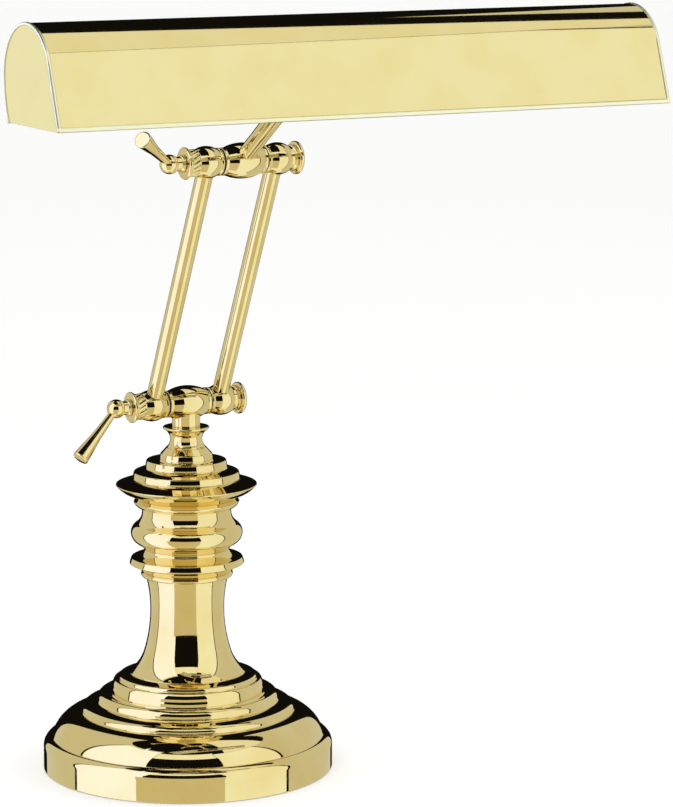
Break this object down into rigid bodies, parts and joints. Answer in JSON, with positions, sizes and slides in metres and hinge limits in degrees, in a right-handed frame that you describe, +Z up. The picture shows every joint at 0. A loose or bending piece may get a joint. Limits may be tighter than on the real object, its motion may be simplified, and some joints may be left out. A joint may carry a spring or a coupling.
{
  "type": "swing-arm desk lamp",
  "caption": "Polished brass desk lamp: weighted round base, turned column, clamped swing arm with paired rods, and a long open trough shade that tilts.",
  "frame": {"origin": "centre of the base's underside, on the surface that the lamp stands on", "axes": "+Z up along the column, -Y towards the front that the shade reaches over, +X to the lamp's right as seen from the front"},
  "size_m": [0.3556, 0.3001, 0.4392],
  "materials": {
    "polished_brass": "mirror-polished and lacquered yellow brass",
    "shade_brass": "polished and lacquered sheet brass outside, white enamel inside",
    "cast_iron": "rough casting with black paint",
    "felt": "dark green glued felt",
    "black_bush": "moulded black insulating bush",
    "steel_hardware": "zinc-plated steel",
    "fibre_washer": "red-brown vulcanised fibre",
    "holder_plastic": "moulded black phenolic",
    "bulb_cap_metal": "rolled aluminium screw cap",
    "frosted_glass": "frosted glass tube",
    "knob_plastic": "fluted black turn knob"
  },
  "bodies": {
    "base": {"base_shell": "polished_brass", "base_weight": "cast_iron", "base_felt": "felt", "cord_bushing": "black_bush", "threaded_pipe": "steel_hardware", "pipe_washer": "steel_hardware", "pipe_nut": "steel_hardware", "column_shaft": "polished_brass", "column_ring": "polished_brass", "column_vase": "polished_brass", "column_collar": "polished_brass", "column_flange": "polished_brass", "stepped_cap": "polished_brass", "neck_cup": "polished_brass", "lower_yoke": "polished_brass"},
    "arm": {"lower_left_barrel": "polished_brass", "lower_right_barrel": "polished_brass", "upper_left_barrel": "polished_brass", "upper_right_barrel": "polished_brass", "left_rod": "polished_brass", "right_rod": "polished_brass", "lower_friction_washers": "fibre_washer", "upper_friction_washers": "fibre_washer", "lower_clamp_collar": "polished_brass", "upper_clamp_collar": "polished_brass", "lower_cap_nut": "polished_brass", "upper_cap_nut": "polished_brass"},
    "lower_clamp_lever": {"lower_lever": "polished_brass", "lower_pivot_stud": "steel_hardware"},
    "upper_clamp_lever": {"upper_lever": "polished_brass", "upper_pivot_stud": "steel_hardware"},
    "head": {"upper_yoke": "polished_brass", "stem": "polished_brass", "stem_collar": "polished_brass", "stem_locknut": "steel_hardware", "shade_bracket": "steel_hardware", "shade_shell": "shade_brass", "shade_left_end": "shade_brass", "shade_right_end": "shade_brass", "switch_body": "holder_plastic", "left_lamp_socket": "holder_plastic", "right_lamp_socket": "holder_plastic", "left_bulb_base": "bulb_cap_metal", "right_bulb_base": "bulb_cap_metal", "left_bulb_glass": "frosted_glass", "right_bulb_glass": "frosted_glass"},
    "switch": {"switch_knob": "knob_plastic"}
  },
  "joints": [
    {"name": "arm_lift", "type": "hinge", "parent": "base", "child": "arm", "pos_m": [0, 0, 0.2108], "axis": [1, 0, 0], "range_deg": [-70, 64]},
    {"name": "shade_tilt", "type": "hinge", "parent": "arm", "child": "head", "pos_m": [0, -0.06777, 0.35353], "axis": [1, 0, 0], "range_deg": [-89, 75]},
    {"name": "lower_lever_turn", "type": "hinge", "parent": "arm", "child": "lower_clamp_lever", "pos_m": [0, 0, 0.2108], "axis": [1, 0, 0], "range_deg": [-120, 15]},
    {"name": "upper_lever_turn", "type": "hinge", "parent": "arm", "child": "upper_clamp_lever", "pos_m": [0, -0.06777, 0.35353], "axis": [1, 0, 0], "range_deg": [-120, 15]},
    {"name": "switch_turn", "type": "hinge", "parent": "head", "child": "switch", "pos_m": [0, -0.18214, 0.3912], "axis": [0, 0, -1], "continuous": true}
  ]
}
